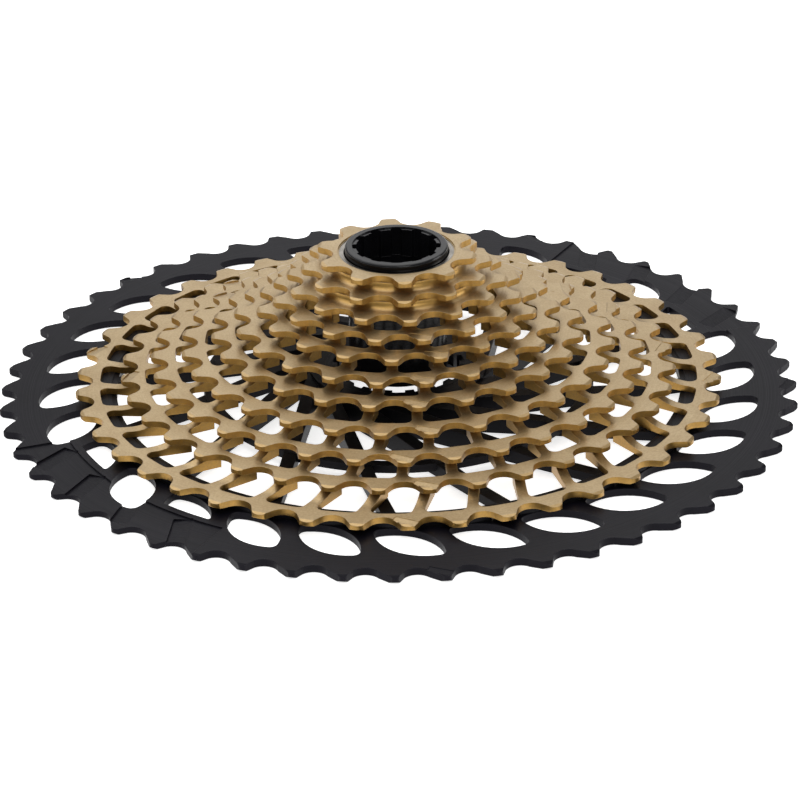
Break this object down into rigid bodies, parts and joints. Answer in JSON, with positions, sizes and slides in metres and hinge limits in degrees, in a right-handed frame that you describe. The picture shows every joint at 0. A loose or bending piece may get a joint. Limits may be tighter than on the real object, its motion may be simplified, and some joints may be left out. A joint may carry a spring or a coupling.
{
  "type": "cassette sprocket",
  "caption": "Wide-range bicycle cassette: a stepped dome of toothed sprockets on a spoked carrier, with a splined hub bore and a free-turning threaded lock tube.",
  "frame": {"origin": "on the axis, in the plane of the back face that meets the freehub", "axes": "+Z along the axis, from the biggest sprocket to the smallest"},
  "size_m": [0.2118, 0.2118, 0.0427],
  "materials": {
    "gold_steel": "satin gold coating",
    "black_alloy": "matt black anodised",
    "black_tube": "gloss black anodised",
    "steel": "brushed",
    "bronze": "machined",
    "rubber": "matt"
  },
  "bodies": {
    "cassette": {"sprocket_52t": "black_alloy", "carrier_rim": "black_alloy", "carrier_spokes": "black_alloy", "brace_ring": "black_alloy", "carrier_hub": "black_alloy", "driver_hub": "black_alloy", "carrier_pins": "steel", "tube_bushing": "bronze", "tube_seal": "rubber", "thrust_washer": "steel", "snap_ring": "steel", "sprocket_10t": "gold_steel", "sprocket_12t": "gold_steel", "sprocket_14t": "gold_steel", "sprocket_16t": "gold_steel", "sprocket_18t": "gold_steel", "sprocket_21t": "gold_steel", "sprocket_24t": "gold_steel", "sprocket_28t": "gold_steel", "sprocket_32t": "gold_steel", "sprocket_36t": "gold_steel", "sprocket_42t": "gold_steel"},
    "lock_tube": {"lock_tube": "black_tube"}
  },
  "joints": [
    {"name": "lock_tube_spin", "type": "hinge", "parent": "cassette", "child": "lock_tube", "pos_m": [0, 0, 0.03], "axis": [0, 0, 1], "continuous": true}
  ]
}
